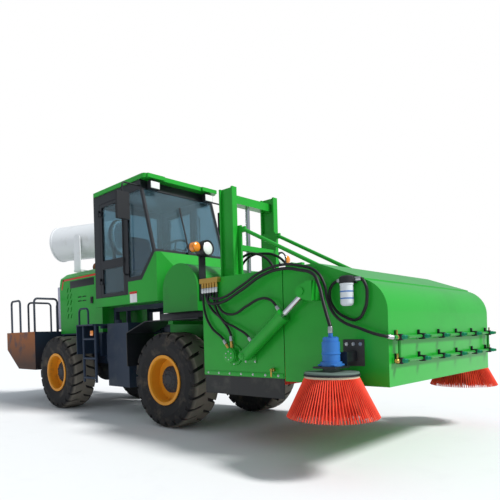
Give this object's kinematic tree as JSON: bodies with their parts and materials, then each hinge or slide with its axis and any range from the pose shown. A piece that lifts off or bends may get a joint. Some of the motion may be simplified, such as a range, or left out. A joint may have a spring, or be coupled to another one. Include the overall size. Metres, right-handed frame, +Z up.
{
  "type": "road sweeper",
  "caption": "Articulated compact loader with a mast-lifted sweeper head, tipping hopper, roller and side brushes, a mist cannon on the bonnet and a ballast box with guard hoops behind.",
  "frame": {"origin": "on the ground under the middle of the whole object", "axes": "+X forward, +Y to the left of the driver, +Z up"},
  "size_m": [7.243, 3.2238, 3.065],
  "materials": {
    "green": "gloss paint",
    "slate": "satin paint",
    "iron": "rough cast, painted dark",
    "lilac": "satin paint",
    "rust": "rusty",
    "black_paint": "satin paint",
    "glass": "tinted",
    "seat": "woven",
    "black_plastic": "matt",
    "white": "gloss paint",
    "chrome": "polished",
    "rubber": "matt",
    "bristle": "loose bristles",
    "blue": "gloss paint",
    "clear_white": "smooth",
    "tyre": "dusty",
    "yellow": "gloss paint",
    "brass": "bare"
  },
  "bodies": {
    "rear": {"rear_frame": "slate", "rear_axle": "iron", "engine_block": "iron", "bonnet": "green", "rear_grille": "lilac", "exhaust": "rust", "ballast_box": "slate", "guard_rails": "black_paint", "cab_tub": "green", "cab_frame": "black_paint", "cab_glass": "glass", "cab_roof": "green", "cab_seat": "seat", "steering": "black_plastic", "cab_fittings": "black_plastic", "side_tanks": "slate", "side_steps": "slate", "cannon_base": "white"},
    "door_left_body": {"door_left": "black_paint", "door_glass_left": "glass"},
    "door_right_body": {"door_right": "black_paint", "door_glass_right": "glass"},
    "cannon_turret": {"cannon_yoke": "white"},
    "cannon_barrel": {"cannon_drum": "white"},
    "front": {"front_frame": "green", "front_axle": "iron", "front_mudguards": "black_paint", "oil_tank": "green", "head_lamps": "black_plastic", "mast": "green", "lift_rod": "chrome", "lift_hoses": "rubber"},
    "wheel_front_left": {"tyre_front_left": "tyre", "rim_front_left": "yellow"},
    "wheel_front_right": {"tyre_front_right": "tyre", "rim_front_right": "yellow"},
    "wheel_rear_left": {"tyre_rear_left": "tyre", "rim_rear_left": "yellow"},
    "wheel_rear_right": {"tyre_rear_right": "tyre", "rim_rear_right": "yellow"},
    "head": {"carriage": "green", "tie_rods": "green", "brush_hood": "green", "rubber_skirt": "rubber", "hose_fittings": "brass", "head_hoses": "rubber"},
    "roller": {"roller_brush": "bristle"},
    "tipper": {"hopper": "green", "spray_bars": "green", "brush_arms": "black_paint", "brush_motors": "blue", "water_filter": "clear_white", "hopper_hoses": "rubber"},
    "brush_left": {"side_brush_left": "bristle"},
    "brush_right": {"side_brush_right": "bristle"},
    "barrels": {"tip_barrels": "green"},
    "rods": {"tip_rods": "chrome"}
  },
  "joints": [
    {"name": "steer", "type": "hinge", "parent": "rear", "child": "front", "pos_m": [-0.4315, 0, 0.8], "axis": [0, 0, 1], "range_deg": [-35, 35]},
    {"name": "spin_front_left", "type": "hinge", "parent": "front", "child": "wheel_front_left", "pos_m": [0.8285, 0.705, 0.53], "axis": [0, 1, 0], "continuous": true},
    {"name": "spin_front_right", "type": "hinge", "parent": "front", "child": "wheel_front_right", "pos_m": [0.8285, -0.705, 0.53], "axis": [0, 1, 0], "continuous": true},
    {"name": "spin_rear_left", "type": "hinge", "parent": "rear", "child": "wheel_rear_left", "pos_m": [-1.6915, 0.705, 0.53], "axis": [0, 1, 0], "continuous": true},
    {"name": "spin_rear_right", "type": "hinge", "parent": "rear", "child": "wheel_rear_right", "pos_m": [-1.6915, -0.705, 0.53], "axis": [0, 1, 0], "continuous": true},
    {"name": "mast_lift", "type": "slide", "parent": "front", "child": "head", "axis": [0, 0, 1], "range_m": [-0.395, 0.25], "deforming": ["lift_hoses"]},
    {"name": "roller_spin", "type": "hinge", "parent": "head", "child": "roller", "pos_m": [2.0785, 0, 0.83], "axis": [0, 1, 0], "continuous": true},
    {"name": "hopper_tip", "type": "hinge", "parent": "head", "child": "tipper", "pos_m": [2.6335, 0, 1.585], "axis": [0, -1, 0], "range_deg": [0, 50], "deforming": ["hopper_hoses"]},
    {"name": "barrel_swing", "type": "hinge", "parent": "head", "child": "barrels", "pos_m": [2.2685, 0, 0.83], "axis": [0, -1, 0], "range_deg": [0, 8.95], "deforming": ["head_hoses"]},
    {"name": "rod_slide", "type": "slide", "parent": "barrels", "child": "rods", "axis": [0.7833, 0, 0.6217], "range_m": [0, 0.2753]},
    {"name": "brush_spin_left", "type": "hinge", "parent": "tipper", "child": "brush_left", "pos_m": [3.2085, 1.287, 0.72], "axis": [0, 0, 1], "continuous": true},
    {"name": "brush_spin_right", "type": "hinge", "parent": "tipper", "child": "brush_right", "pos_m": [3.2085, -1.287, 0.72], "axis": [0, 0, 1], "continuous": true},
    {"name": "door_left_swing", "type": "hinge", "parent": "rear", "child": "door_left_body", "pos_m": [-0.8115, 0.636, 2.2], "axis": [0, 0, 1], "range_deg": [0, 80]},
    {"name": "door_right_swing", "type": "hinge", "parent": "rear", "child": "door_right_body", "pos_m": [-0.8115, -0.636, 2.2], "axis": [0, 0, -1], "range_deg": [0, 80]},
    {"name": "cannon_turn", "type": "hinge", "parent": "rear", "child": "cannon_turret", "pos_m": [-2.1515, 0, 2.1], "axis": [0, 0, 1], "range_deg": [-90, 90]},
    {"name": "cannon_pitch", "type": "hinge", "parent": "cannon_turret", "child": "cannon_barrel", "pos_m": [-2.1515, 0, 2.64], "axis": [0.3907, -0.9205, 0], "range_deg": [-5, 35]}
  ],
  "couplings": [
    {"joint": "barrel_swing", "follows": "hopper_tip", "ratio": 0.17888},
    {"joint": "rod_slide", "follows": "hopper_tip", "m_per_rad": 0.31491}
  ]
}
